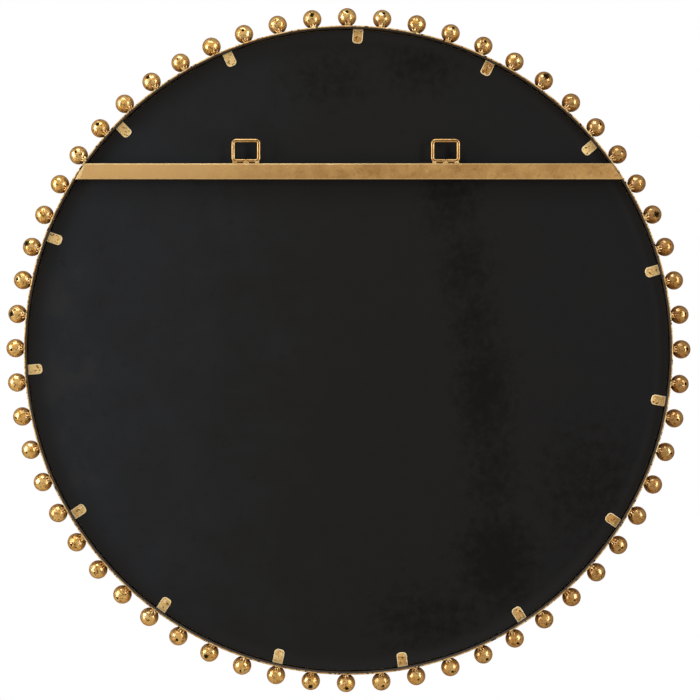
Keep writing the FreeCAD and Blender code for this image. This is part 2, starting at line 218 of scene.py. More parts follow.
def paintGlazeShadeAndLight(tree, where, look, colour, bright):  # thick glaze, painted shade and painted light, each with a wandering edge
    measures = distancesIn(tree, where)
    edge = addNode(tree, "ShaderNodeTexNoise", {
        "Vector": where, "Scale": 1 / (look["raggedSizeMm"] * mm), "Detail": 3.0})
    wander = addNode(tree, "ShaderNodeMapRange", {
        "Value": edge.outputs["Fac"], "To Min": -look["raggedMm"] * mm, "To Max": look["raggedMm"] * mm})
    for measure, tint, start, end, thickest in look["pools"]:
        wavering = addNode(tree, "ShaderNodeMath", {0: measures[measure], 1: wander.outputs["Result"]},
                           operation="ADD")
        pool = addNode(tree, "ShaderNodeMapRange", {
            "Value": wavering.outputs[0], "From Min": start * mm, "From Max": end * mm,
            "To Max": thickest}, interpolation_type="SMOOTHSTEP")
        colour = addNode(tree, "ShaderNodeMix", {
            0: pool.outputs["Result"], 6: colour, 7: linear(tint)}, data_type="RGBA").outputs[2]
        if measure != "side":  # the side mark is painted light and shade from one side to the other, so it leaves the metal as it is
            bright = addNode(tree, "ShaderNodeMix", {
                0: pool.outputs["Result"], 2: bright, 3: look["glazeMetallic"]}).outputs[0]
    return colour, bright


def ventShadeAndSoot(tree, where, look, colour, bright):  # painted shade: black in the vent's hollow on every ball; burnt soot round it on some balls
    inBall = addNode(tree, "ShaderNodeAttribute", attribute_name="inBall").outputs["Vector"]
    across = addNode(tree, "ShaderNodeVectorMath", {0: inBall, 1: (1, 1, 0)}, operation="MULTIPLY")
    fromVent = addNode(tree, "ShaderNodeVectorMath", {0: across.outputs[0]}, operation="LENGTH")
    along = addNode(tree, "ShaderNodeSeparateXYZ", {"Vector": inBall}).outputs["Z"]
    front = addNode(tree, "ShaderNodeMath", {0: along, 1: 0.0}, operation="GREATER_THAN")
    chance = addNode(tree, "ShaderNodeAttribute", attribute_name="luck").outputs["Fac"]
    luck = addNode(tree, "ShaderNodeMath", {0: chance, 1: look["sootRarity"]}, operation="POWER")
    soot = addNode(tree, "ShaderNodeTexNoise", {
        "Vector": where, "Scale": 1 / (look["sootGrainMm"] * mm), "Detail": 2.0})
    reach = addNode(tree, "ShaderNodeMath", {0: soot.outputs["Fac"], 1: luck.outputs[0]},
                    operation="MULTIPLY")
    ragged = addNode(tree, "ShaderNodeMath", {
        0: reach.outputs[0], 1: -look["sootMm"] * mm, 2: fromVent.outputs["Value"]},
        operation="MULTIPLY_ADD")
    burnt = addNode(tree, "ShaderNodeMapRange", {
        "Value": ragged.outputs[0], "From Min": look["ventMm"] * mm * look["sootEdge"][0],
        "From Max": look["ventMm"] * mm * look["sootEdge"][1], "To Max": look["sootShare"]})
    black = addNode(tree, "ShaderNodeMath", {0: burnt.outputs["Result"], 1: front.outputs[0]},
                    operation="MULTIPLY").outputs[0]
    colour = addNode(tree, "ShaderNodeMix", {
        0: black, 6: colour, 7: linear(look["soot"])}, data_type="RGBA").outputs[2]
    bright = addNode(tree, "ShaderNodeMix", {0: black, 2: bright, 3: 0.0}).outputs[0]
    return colour, bright


def pressLeaf(tree, where, look, shader):  # fine creases where the leaf was pressed down, over soft dents
    wrinkle = addNode(tree, "ShaderNodeTexNoise", {
        "Vector": where, "Scale": 1 / (look["wrinkleMm"] * mm), "Detail": 3.0, "Roughness": 0.6,
        "Distortion": 0.7})
    dent = addNode(tree, "ShaderNodeTexNoise", {
        "Vector": where, "Scale": 1 / (look["dentMm"] * mm), "Detail": 1.0})
    low = addNode(tree, "ShaderNodeMath", {0: dent.outputs["Fac"], 1: look["dentReliefMm"] * mm},
                  operation="MULTIPLY")
    relief = addNode(tree, "ShaderNodeMath", {
        0: wrinkle.outputs["Fac"], 1: look["wrinkleReliefMm"] * mm, 2: low.outputs[0]},
        operation="MULTIPLY_ADD")
    bump = addNode(tree, "ShaderNodeBump", {"Height": relief.outputs[0], "Strength": 1.0, "Distance": 1.0})
    for facing in ("Normal", "Coat Normal"):
        tree.links.new(bump.outputs["Normal"], shader.inputs[facing])
    rough = addNode(tree, "ShaderNodeMapRange", {
        "Value": wrinkle.outputs["Fac"], "From Min": 0.3, "From Max": 0.7,
        "To Min": look["roughness"] + look["creaseRoughness"][0],
        "To Max": look["roughness"] + look["creaseRoughness"][1]})
    tree.links.new(rough.outputs["Result"], shader.inputs["Roughness"])


def leafMaterial(name, **changes):
    look = leafLook | changes
    material, tree, shader = newMaterial(name)
    where = addNode(tree, "ShaderNodeTexCoord").outputs["Object"]
    colour, bright = leafLayers(tree, where, look, leafTone(tree, where, look), look["metallic"])
    if look["pools"]:
        colour, bright = paintGlazeShadeAndLight(tree, where, look, colour, bright)
    if "ventMm" in look:
        colour, bright = ventShadeAndSoot(tree, where, look, colour, bright)
    tree.links.new(colour, shader.inputs["Base Color"])
    tree.links.new(bright, shader.inputs["Metallic"])
    pressLeaf(tree, where, look, shader)
    clear = addNode(tree, "ShaderNodeMapRange", {  # glaze and broken leaf are dull, the bare leaf shines
        "Value": bright, "From Min": look["glazeMetallic"], "From Max": look["metallic"],
        "To Max": look["lacquer"]})
    tree.links.new(clear.outputs["Result"], shader.inputs["Coat Weight"])
    setInputs(shader, {"Specular IOR Level": look["specular"], "Specular Tint": linear(look["grazing"]),
                       "Coat Roughness": look["lacquerRoughness"], "Coat IOR": look["lacquerIor"]})
    return material


# gold leaf over a spun iron ball, lacquered: bright crescents of reflection, broken by creased leaf;
# painted shade darkens the -X side, a band round each ball's middle, and the ball near the hoop, where
# glaze also gathers
ballLeaf = leafMaterial(
    "goldLeafOverIronBall", leafLight="#FFE6A4", leafDeep="#F2C064", toneMm=9.0, roughness=0.22,
    lacquerRoughness=0.06, lacquerIor=1.6, grazing="#B06A1C", flakeMm=2.6, flakeFrom=0.56, flakeShare=0.45,
    glaze="#562400", glazeMm=3.2, glazeFrom=0.54, glazeBlend=0.06, glazeShare=0.85,
    fleck="#200E02", fleckMm=2.4, fleckFrom=0.6, dentMm=6.0, dentReliefMm=0.6, wrinkleReliefMm=0.2,
    # the vent's black: painted shade in its hollow, and burnt soot round it on some balls
    ventMm=1.2, soot="#120804", sootMm=6.0, sootGrainMm=1.6, sootRarity=4.0, sootShare=0.96,
    sootEdge=(1.1, 0.8),  # in vent radii
    raggedMm=1.6, pools=[
        # painted shade: darker towards -X, in a band round each ball's middle, and towards the hoop, near
        # black in the gap; glaze also gathers by the hoop
        ("side", "#74400E", 150.0, -420.0, 0.55), ("middle", "#9A5410", 6.0, 1.0, 0.5),
        ("wall", "#6E3808", 12.0, 3.0, 0.5), ("wall", "#1E0C03", 5.0, 1.0, 0.92)])
# gold leaf over rolled strip: satin, the leaf rubbed off in dark breaks along its edge; painted shade
# darkens its walls away from their edges, and a line inside its back edge
hoopLeaf = leafMaterial(
    "goldLeafOverRolledStrip", leafLight="#FBE7B0", leafDeep="#D2A052", toneMm=24.0, fleckFrom=0.56,
    fleckMm=3.6, fleckShare=1.0, roughness=0.4, metallic=0.8, raggedMm=0.5, pools=[
        # painted shade: a dark line inside the back edge, and the walls darker away from the back and front
        # edges
        ("wall", "#3A1C0C", -1.2, -1.6, 0.9), ("middle", "#5E3A18", 11.9, 10.5, 0.5)])
# the same leaf on the lip in front, which isn't rubbed
lipLeaf = leafMaterial("goldLeafOverFlatRing", leafLight="#FBE7B0", leafDeep="#D2A052", toneMm=24.0,
                       roughness=0.4, metallic=0.8)
# gold leaf over sheared thin strip: pale, wrinkled and satin, each strip a tone of its own
tabLeaf = leafMaterial("goldLeafOverShearedStrip", leafLight="#FFE09C", leafDeep="#AC7228", roughness=0.45,
                       metallic=0.3, lacquer=0.2, toneMm=9.0, ownTone=0.5, glaze="#8A5418", glazeMm=2.8,
                       glazeFrom=0.54, glazeBlend=0.06, glazeShare=0.22, flake="#FFECB8", flakeMm=4.0,
                       flakeFrom=0.56, flakeShare=0.7, fleck="#2A1206", fleckMm=3.0, fleckFrom=0.58,
                       fleckBlend=0.02, fleckShare=1.0, wrinkleReliefMm=0.25, dentReliefMm=0.3)
# painted highlight: the same leaf paler and brighter along the strip's edges than on its face
edgeHighlightLeaf = leafMaterial("goldLeafPaintedEdgeHighlight", leafLight="#FFF6D4", leafDeep="#FFE9B0", roughness=0.45,
                        metallic=0.6, lacquer=1.0, glazeShare=0.3, fleckShare=0.5, wrinkleReliefMm=0.1,
                        dentReliefMm=0.1)
# gold leaf over a flat bar: a calm satin face, faintly mottled; painted light pales it towards +X, painted
# highlights run along its top and bottom edges, and painted shade darkens its lowest edge
barLeaf = leafMaterial("goldLeafOverFlatBar", leafLight="#BC9C66", leafDeep="#A48250", roughness=0.55,
                       glaze="#7A5224", glazeMm=9.0, glazeFrom=0.56, glazeBlend=0.05, glazeShare=0.3,
                       flakeMm=4.0, flakeShare=0.12, fleckMm=3.0, fleckFrom=0.7, fleckShare=0.4,
                       wrinkleReliefMm=0.06, dentMm=18.0, dentReliefMm=0.1, toneMm=26.0, lacquer=0.4,
                       raggedMm=0.5, pools=[
                           # painted light towards +X; painted highlights along the top edge and above the
                           # bottom edge; painted shade on the bottom edge
                           ("side", "#CCAE7A", 0.0, 260.0, 0.9),
                           ("above", "#F0DCA8", -1.0, -0.5, 0.5), ("above", "#EAD09A", -17.6, -18.2, 0.45),
                           ("above", "#3A1F0C", -18.5, -19.0, 0.8)])
# the same leaf over a ground corner: smoother, and painted paler as a highlight
groundLeafHighlight = leafMaterial("goldLeafOverGroundIronPaintedHighlight", leafLight="#FFF0C0", leafDeep="#F6D995", roughness=0.3,
                          glazeShare=0.1, fleckShare=0.1, wrinkleReliefMm=0.05, dentReliefMm=0.1)
# gold leaf over drawn wire: glossy, so the wire shows light and dark bands along its length; the dark band
# along its crown is a painted reflection, and painted shade darkens it just above the bar
wireLeaf = leafMaterial("goldLeafOverDrawnWire", leafLight="#E4BE7C", leafDeep="#C69A5A", roughness=0.36,
                        lacquer=0.5, glazeShare=0.25, fleckShare=0.4, wrinkleReliefMm=0.08,
                        dentReliefMm=0.1, raggedMm=0.2, pools=[
                            # painted reflection: dark along the crown; painted shade: near black just above
                            # the bar
                            ("crown", "#3A1C0A", 0.8, 0.4, 0.9), ("above", "#1A0C05", 1.6, 1.2, 0.95)])
# gold leaf over a weld bead: lumpy, so it breaks into small sharp glints
weldLeaf = leafMaterial("goldLeafOverWeldBead", leafLight="#FFEDBE", leafDeep="#E2B25E", roughness=0.24,
                       glazeMm=1.8, glazeFrom=0.5, fleckMm=1.7, fleckFrom=0.6, wrinkleReliefMm=0.3)

boardLook = {
    "brink": "#26282C", "light": "#212429", "plain": "#1A1B1C", "dark": "#18191C", "cloudMm": 55.0,
    "edge": "#252526", "edgeFromMm": -24.0, "edgeToMm": -3.0,  # painted light: paler along the hoop, against the shade it casts
    "plainAt": 0.55, "lightAt": 0.93,  # how far across the painted light runs, from the dark side to the brink
    "wavyMm": 450.0, "grainMm": 0.8, "grainReliefMm": 0.1, "grainStrength": 0.25, "roughness": 0.8,
    "specular": 0.12, "smear": "#0A0A0A", "smearMm": 12.0, "smearShare": 0.8, "smearGain": 0.3,
    "smearFrom": 0.58, "smearTo": 0.86,
    "smears": [  # blotches in mm: across and up from the middle, half width, half height; then strength
        (-86, 340, 80, 60, 0.95), (20, 322, 90, 55, 0.75), (-122, 185, 66, 90, 1.0),
        (-140, 100, 60, 90, 1.0), (-150, 30, 55, 90, 1.0), (-162, -50, 60, 135, 1.25),
        (-172, -150, 55, 100, 0.95), (-178, -250, 78, 105, 1.45),
        (-290, -160, 120, 130, 0.85), (-100, -320, 130, 70, 0.9)],
}


def boardSmears(tree, where, look):  # how dark it is smeared: blotches broken up by speckle
    smeared = 0.0
    for across, up, halfWidth, halfHeight, strength in look["smears"]:
        off = addNode(tree, "ShaderNodeVectorMath", {
            0: where, 1: (across * mm, 0, up * mm)}, operation="SUBTRACT")
        scaled = addNode(tree, "ShaderNodeVectorMath", {
            0: off.outputs[0], 1: (1 / (halfWidth * mm), 0, 1 / (halfHeight * mm))}, operation="MULTIPLY")
        far = addNode(tree, "ShaderNodeVectorMath", {0: scaled.outputs[0]}, operation="LENGTH")
        blotch = addNode(tree, "ShaderNodeMapRange", {
            "Value": far.outputs["Value"], "From Min": 1.0, "From Max": 0.0, "To Max": strength},
            interpolation_type="SMOOTHSTEP")
        smeared = addNode(tree, "ShaderNodeMath", {0: blotch.outputs["Result"], 1: smeared},
                          operation="MAXIMUM").outputs[0]
    speckle = addNode(tree, "ShaderNodeTexNoise", {
        "Vector": where, "Scale": 1 / (look["smearMm"] * mm), "Detail": 5.0, "Roughness": 0.75})
    both = addNode(tree, "ShaderNodeMath", {0: smeared, 1: look["smearGain"], 2: speckle.outputs["Fac"]},
                   operation="MULTIPLY_ADD")
    return addNode(tree, "ShaderNodeMapRange", {
        "Value": both.outputs[0], "From Min": look["smearFrom"], "From Max": look["smearTo"],
        "To Max": look["smearShare"]}).outputs["Result"]


def boardMaterial(look):  # hardboard sprayed matt black: near black, cloudy, smeared down one side; painted light makes it lighter towards +X and along the hoop
    material, tree, shader = newMaterial("blackSprayedHardboard")
    where = addNode(tree, "ShaderNodeTexCoord").outputs["Object"]
    apart = addNode(tree, "ShaderNodeSeparateXYZ", {"Vector": where})
    cloud = addNode(tree, "ShaderNodeTexNoise", {
        "Vector": where, "Scale": 1 / (look["cloudMm"] * mm), "Detail": 6.0, "Roughness": 0.7})
    half = look["wavyMm"] * mm / 2
    wavy = addNode(tree, "ShaderNodeMath", {0: cloud.outputs["Fac"], 1: half * 2, 2: apart.outputs["X"]},
                   operation="MULTIPLY_ADD")
    # painted light: the paint lighter towards +X, where the light falls
    sides = addNode(tree, "ShaderNodeValToRGB", {"Fac": addNode(tree, "ShaderNodeMapRange", {
        "Value": wavy.outputs[0], "From Min": hoopLow.x + half, "From Max": hoopHigh.x + half}).outputs[0]})
    setRamp(sides.color_ramp, [(0.0, linear(look["dark"])), (look["plainAt"], linear(look["plain"])),
                               (look["lightAt"], linear(look["light"])), (1.0, linear(look["brink"]))])
    paint = addNode(tree, "ShaderNodeMix", {
        0: boardSmears(tree, where, look), 6: sides.outputs["Color"], 7: linear(look["smear"])},
        data_type="RGBA")
    # painted light: paler along the hoop, against the hoop's shade
    corner = addNode(tree, "ShaderNodeMapRange", {
        "Value": distancesIn(tree, where)["wall"], "From Min": look["edgeFromMm"] * mm,
        "From Max": look["edgeToMm"] * mm}, interpolation_type="SMOOTHSTEP")
    paintAndPaintedLight = addNode(tree, "ShaderNodeMix", {
        0: corner.outputs["Result"], 6: paint.outputs[2], 7: linear(look["edge"])}, data_type="RGBA")
    tree.links.new(paintAndPaintedLight.outputs[2], shader.inputs["Base Color"])
    grain = addNode(tree, "ShaderNodeTexNoise", {
        "Vector": where, "Scale": 1 / (look["grainMm"] * mm), "Detail": 2.0})
    bump = addNode(tree, "ShaderNodeBump", {
        "Height": grain.outputs["Fac"], "Strength": look["grainStrength"],
        "Distance": look["grainReliefMm"] * mm})
    tree.links.new(bump.outputs["Normal"], shader.inputs["Normal"])
    setInputs(shader, {"Roughness": look["roughness"], "Specular IOR Level": look["specular"]})
    return material


innerWallLook = {"black": "#524C47", "bare": "#6A4A2A", "thinMm": 9.0, "thinFrom": 0.62, "thinTo": 0.72,
                 "thinShare": 0.5, "roughness": 0.7, "specular": 0.15}


def paintedShadeWallMaterial(look):  # painted shade on the hoop's inner wall: matt near black, the leaf just showing
    material, tree, shader = newMaterial("paintedShadeInnerWall")
    where = addNode(tree, "ShaderNodeTexCoord").outputs["Object"]
    thin = addNode(tree, "ShaderNodeTexNoise", {
        "Vector": where, "Scale": 1 / (look["thinMm"] * mm), "Detail": 4.0})
    share = addNode(tree, "ShaderNodeMapRange", {
        "Value": thin.outputs["Fac"], "From Min": look["thinFrom"], "From Max": look["thinTo"],
        "To Max": look["thinShare"]})
    paint = addNode(tree, "ShaderNodeMix", {
        0: share.outputs["Result"], 6: linear(look["black"]), 7: linear(look["bare"])}, data_type="RGBA")
    tree.links.new(paint.outputs[2], shader.inputs["Base Color"])
    setInputs(shader, {"Roughness": look["roughness"], "Specular IOR Level": look["specular"]})
    return material


glassLook = {"silver": "#E8EDEA", "dusty": "#DDE2DF", "dustMm": 90.0}


def glassMaterial(look):  # float glass silvered behind: a sharp mirror, faintly green, faintly dusty
    material, tree, shader = newMaterial("silveredFloatGlass")
    where = addNode(tree, "ShaderNodeTexCoord").outputs["Object"]
    dust = addNode(tree, "ShaderNodeTexNoise", {
        "Vector": where, "Scale": 1 / (look["dustMm"] * mm), "Detail": 5.0})
    silver = addNode(tree, "ShaderNodeMix", {
        0: dust.outputs["Fac"], 6: linear(look["silver"]), 7: linear(look["dusty"])}, data_type="RGBA")
    tree.links.new(silver.outputs[2], shader.inputs["Base Color"])
    setInputs(shader, {"Roughness": 0.0, "Metallic": 1.0, "Coat Weight": 1.0, "Coat Roughness": 0.0})
    return material


paintedShadeWall = paintedShadeWallMaterial(innerWallLook)
for nodeName, material in (("backing_board", boardMaterial(boardLook)),
                           ("mirror_plate", glassMaterial(glassLook))):
    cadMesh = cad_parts[nodeName].data
    cadMesh.materials.clear()
    cadMesh.materials.append(material)
print("materials made")


# hoop and front lip: one profile turned round the mirror's axis

hoopLook = {
    "wallMm": 2.0,
    "segments": 900,
    "edgeRoundMm": 0.5,
    "edgeSteps": 3,
    "waverMm": 0.3,  # the strip was rolled and trued by hand
    "waverPerTurn": 60,
    "waverDepthMm": 1.0,  # only the back edge wavers
}


def roundedOutline(low, high, radius, steps):  # a rectangle of (r, y) points with rounded corners
    points = []
    corners = [(high[0], low[1], -1), (high[0], high[1], 0), (low[0], high[1], 1), (low[0], low[1], 2)]
    for r, y, quarter in corners:
        centre = (r + (radius if r == low[0] else -radius), y + (radius if y == low[1] else -radius))
        for step in range(steps + 1):
            turn = math.pi / 2 * (quarter + step / steps)
            points.append((centre[0] + radius * math.cos(turn), centre[1] + radius * math.sin(turn)))
    return points


def turnedRing(name, outline, look, *materials):
    bm = bmesh.new()
    rings = []
    for segment in range(look["segments"]):
        turn = 2 * math.pi * segment / look["segments"]
        outward = Vector((math.cos(turn), 0, math.sin(turn)))
        spot = outward * look["waverPerTurn"] / (2 * math.pi)
        drop = look["waverMm"] * mm * (noise.noise(spot) - 1) / 2
        ring = []
        for r, y in outline:
            atBack = y > hoopHigh.y - look["waverDepthMm"] * mm
            ring.append(bm.verts.new(outward * r + Vector((0, y + (drop if atBack else 0), 0))))
        rings.append(ring)
    joinRings(bm, rings + rings[:1])
    bmesh.ops.recalc_face_normals(bm, faces=bm.faces)
    if len(materials) > 1:  # the second material, painted shade, is the inner wall's
        wall = min(r for r, y in outline) + look["edgeRoundMm"] * mm / 3
        for face in bm.faces:
            middle = face.calc_center_median()
            face.material_index = int(math.hypot(middle.x, middle.z) < wall)
    mesh = meshOf(bm, name)
    smoothShade(mesh, creaseDegrees=60)
    return newPiece(name, mesh, *materials)


def ringOutline(low, high, look):
    return roundedOutline(low, high, look["edgeRoundMm"] * mm, look["edgeSteps"])


hoopInner = hoopOuter - hoopLook["wallMm"] * mm
lipLow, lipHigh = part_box("front_lip")
lipLook = hoopLook | {"widthMm": 8.0, "waverMm": 0.0}
hoopPiece = turnedRing("outerHoop", ringOutline((hoopInner, hoopLow.y), (hoopOuter, hoopHigh.y), hoopLook),
                       hoopLook, hoopLeaf, paintedShadeWall)
finishPiece(hoopPiece, "gilded_iron", "outer_hoop")
lipInner = lipHigh.x - lipLook["widthMm"] * mm
lipPiece = turnedRing("frontLip", ringOutline((lipInner, lipLow.y), (lipHigh.x, lipHigh.y), lipLook),
                      lipLook, lipLeaf)
finishPiece(lipPiece, "gilded_iron", "front_lip")
print("hoop and lip made")


# the sixty balls and their weld beads, set round the hoop by Geometry Nodes

ballLook = {
    "count": 60,
    "radiusMm": 11.09,
    "gapMm": 0.1,  # ball to hoop
    "startDegrees": -0.1,
    "driftDegrees": 0.4,
    "driftStartDegrees": 53.0,
    "swingDegrees": 0.27,
    "ventRadiusMm": 1.15,
    "ventDepthMm": 2.0,
    "ventLipMm": 0.3,
    "ventTaper": 0.9,  # the floor's share of the vent's radius
    "leanDegrees": -27.0,  # vent from straight back towards outward
    "wanderDegrees": 10.0,
    "hiddenShare": 0.3,  # balls whose vent was turned out of sight
    "hiddenLeanDegrees": -75.0,
    "sizeShare": 0.0,
    "roughenMm": 0.0,
    "roughenSizeMm": 3.0,
    "segments": 32,
    "bands": 22,
    "seed": 7,
}


def ventedBall(look):  # a ball turned about its vent, which lies on local +Z
    radius, vent = look["radiusMm"] * mm, look["ventRadiusMm"] * mm
    start = math.asin(vent / radius)
    floor = radius * math.cos(start) - look["ventDepthMm"] * mm
    profile = [(vent * look["ventTaper"], floor), (vent, radius * math.cos(start) - look["ventLipMm"] * mm)]
    for band in range(look["bands"]):
        polar = start + (math.pi - start) * band / look["bands"]
        profile.append((radius * math.sin(polar), radius * math.cos(polar)))
    bm = bmesh.new()
    rings = []
    for r, z in profile:
        rings.append([bm.verts.new((r * math.cos(2 * math.pi * n / look["segments"]),
                                    r * math.sin(2 * math.pi * n / look["segments"]), z))
                      for n in range(look["segments"])])
    joinRings(bm, rings)
    bm.faces.new(rings[0])
    pole = bm.verts.new((0, 0, -radius))
    for n in range(look["segments"]):
        bm.faces.new((rings[-1][n], pole, rings[-1][(n + 1) % look["segments"]]))
    bmesh.ops.recalc_face_normals(bm, faces=bm.faces)
    mesh = meshOf(bm, "ventedBall")
    smoothShade(mesh, creaseDegrees=50)
    inBall = mesh.attributes.new("inBall", "FLOAT_VECTOR", "POINT")
    inBall.data.foreach_set("vector", [c for v in mesh.vertices for c in v.co])
    mesh.transform(Matrix.Rotation(math.radians(-90), 4, "X"))  # the vent now points along +Y
    return mesh


def turnsRoundTheHoop(tree, given):  # about the mirror's axis: even pitch, a slow drift and a swing
    index = addNode(tree, "GeometryNodeInputIndex").outputs[0]
    share = addNode(tree, "ShaderNodeMath", {0: index, 1: given["Count"]}, operation="DIVIDE")
    even = addNode(tree, "ShaderNodeMath", {0: share.outputs[0], 1: math.tau},
                   operation="MULTIPLY").outputs[0]
    shifted = addNode(tree, "ShaderNodeMath", {0: even, 1: given["Drift start"]}, operation="SUBTRACT")
    once = addNode(tree, "ShaderNodeMath", {0: shifted.outputs[0]}, operation="COSINE")
    doubled = addNode(tree, "ShaderNodeMath", {0: even, 1: 2.0}, operation="MULTIPLY")
    twice = addNode(tree, "ShaderNodeMath", {0: doubled.outputs[0]}, operation="SINE")
    drifted = addNode(tree, "ShaderNodeMath", {0: once.outputs[0], 1: given["Drift"], 2: even},
                      operation="MULTIPLY_ADD")
    swung = addNode(tree, "ShaderNodeMath", {0: twice.outputs[0], 1: given["Swing"]}, operation="MULTIPLY")
    wandered = addNode(tree, "ShaderNodeMath", {0: drifted.outputs[0], 1: swung.outputs[0]},
                       operation="SUBTRACT")
    started = addNode(tree, "ShaderNodeMath", {0: wandered.outputs[0], 1: given["Start"]}, operation="ADD")
    turn = addNode(tree, "ShaderNodeMath", {0: started.outputs[0], 1: math.pi}, operation="ADD")
    return addNode(tree, "ShaderNodeCombineXYZ", {"Y": turn.outputs[0]}).outputs[0]


def turnsInPlace(tree, given, turn, luck):  # each copy's own lean, some vents out of sight
    back = addNode(tree, "ShaderNodeMath", {0: given["Wander"], 1: -1.0}, operation="MULTIPLY")
    lowest = addNode(tree, "ShaderNodeCombineXYZ", {axis: back.outputs[0] for axis in "XYZ"})
    highest = addNode(tree, "ShaderNodeCombineXYZ", {axis: given["Wander"] for axis in "XYZ"})
    chance = addNode(tree, "FunctionNodeRandomValue", {
        0: lowest.outputs[0], 1: highest.outputs[0], "Seed": given["Seed"]}, data_type="FLOAT_VECTOR")
    hidden = addNode(tree, "ShaderNodeMath", {0: luck, 1: given["Hidden share"]}, operation="LESS_THAN")
    leant = addNode(tree, "ShaderNodeMath", {
        0: hidden.outputs[0], 1: given["Hidden lean"], 2: given["Lean"]}, operation="MULTIPLY_ADD")
    lean = addNode(tree, "ShaderNodeCombineXYZ", {"Z": leant.outputs[0]})
    local = addNode(tree, "ShaderNodeVectorMath", {0: lean.outputs[0], 1: chance.outputs[0]},
                    operation="ADD")
    own = addNode(tree, "FunctionNodeEulerToRotation", {0: local.outputs[0]})
    about = addNode(tree, "FunctionNodeEulerToRotation", {0: turn})
    both = addNode(tree, "FunctionNodeRotateRotation", {0: own.outputs[0], 1: about.outputs[0]},
                   rotation_space="GLOBAL")
    return both.outputs[0]


def roughened(tree, given, geometry):  # lumps pushed in and out of the surface
    lump = addNode(tree, "ShaderNodeTexNoise", {"Scale": given["Roughen scale"], "Detail": 2.0})
    centred = addNode(tree, "ShaderNodeMath", {0: lump.outputs["Fac"], 1: 0.5}, operation="SUBTRACT")
    amount = addNode(tree, "ShaderNodeMath", {0: centred.outputs[0], 1: given["Roughen"]},
                     operation="MULTIPLY")
    normal = addNode(tree, "GeometryNodeInputNormal")
    offset = addNode(tree, "ShaderNodeVectorMath", {0: normal.outputs[0], "Scale": amount.outputs[0]},
                     operation="SCALE")
    return addNode(tree, "GeometryNodeSetPosition", {
        "Geometry": geometry, "Offset": offset.outputs[0]}).outputs[0]


def roundTheHoop(name, source, look, material, radius, depth):
    tree = bpy.data.node_groups.new(name + "Tree", "GeometryNodeTree")
    values = {
        "Count": look["count"], "Radius": radius, "Depth": depth,
        "Start": math.radians(look["startDegrees"]), "Drift": math.radians(look["driftDegrees"]),
        "Drift start": math.radians(look["driftStartDegrees"]),
        "Swing": math.radians(look["swingDegrees"]), "Lean": math.radians(look["leanDegrees"]),
        "Wander": math.radians(look["wanderDegrees"]), "Hidden share": look["hiddenShare"],
        "Hidden lean": math.radians(look["hiddenLeanDegrees"]), "Size share": look["sizeShare"],
        "Roughen": look["roughenMm"] * mm, "Roughen scale": 1 / (look["roughenSizeMm"] * mm),
        "Seed": look["seed"],
    }
    sockets = {title: tree.interface.new_socket(
        title, in_out="INPUT", socket_type="NodeSocketInt" if isinstance(value, int) else "NodeSocketFloat")
        for title, value in values.items()}
    for title, kind in (("Shape", "NodeSocketObject"), ("Finish", "NodeSocketMaterial")):
        sockets[title] = tree.interface.new_socket(title, in_out="INPUT", socket_type=kind)
    tree.interface.new_socket("Geometry", in_out="OUTPUT", socket_type="NodeSocketGeometry")
    given = addNode(tree, "NodeGroupInput").outputs

    turn = turnsRoundTheHoop(tree, given)
    arm = addNode(tree, "ShaderNodeCombineXYZ", {"X": given["Radius"], "Y": given["Depth"]})
    spot = addNode(tree, "ShaderNodeVectorRotate", {"Vector": arm.outputs[0], "Rotation": turn},
                   rotation_type="EULER_XYZ")
    points = addNode(tree, "GeometryNodePoints", {"Count": given["Count"]})
    placed = addNode(tree, "GeometryNodeSetPosition", {
        "Geometry": points.outputs[0], "Position": spot.outputs[0]})
    luck = addNode(tree, "FunctionNodeRandomValue", {"Seed": given["Seed"]}, data_type="FLOAT").outputs[1]
    sized = addNode(tree, "ShaderNodeMath", {0: luck, 1: given["Size share"], 2: 1.0},
                    operation="MULTIPLY_ADD")
    shape = addNode(tree, "GeometryNodeObjectInfo", {"Object": given["Shape"]}, transform_space="ORIGINAL")
    copies = addNode(tree, "GeometryNodeInstanceOnPoints", {
        "Points": placed.outputs[0], "Instance": shape.outputs["Geometry"],
        "Rotation": turnsInPlace(tree, given, turn, luck), "Scale": sized.outputs[0]})
    marked = addNode(tree, "GeometryNodeStoreNamedAttribute", {
        "Geometry": copies.outputs[0], "Name": "luck", "Value": luck}, data_type="FLOAT", domain="INSTANCE")
    real = addNode(tree, "GeometryNodeRealizeInstances", {0: marked.outputs[0]})
    finished = addNode(tree, "GeometryNodeSetMaterial", {
        "Geometry": roughened(tree, given, real.outputs[0]), "Material": given["Finish"]})
    addNode(tree, "NodeGroupOutput", {0: finished.outputs[0]})

    template = newPiece(name + "Template", source)
    carrier = newPiece(name + "Carrier", bpy.data.meshes.new(name + "Carrier"))
    modifier = carrier.modifiers.new("round the hoop", "NODES")
    modifier.node_group = tree
    for title, chosen in (values | {"Shape": template, "Finish": material}).items():
        modifier[sockets[title].identifier] = chosen
    mesh = bakedMesh(carrier, name)
    for spare in (carrier, template):
        bpy.data.objects.remove(spare)
    return newPiece(name, mesh)


ballCentre = hoopOuter + (ballLook["gapMm"] + ballLook["radiusMm"]) * mm
balls = roundTheHoop("rimBalls", ventedBall(ballLook), ballLook, ballLeaf, ballCentre, hoopMiddle)
finishPiece(balls, "gilded_ball", "rim_balls")

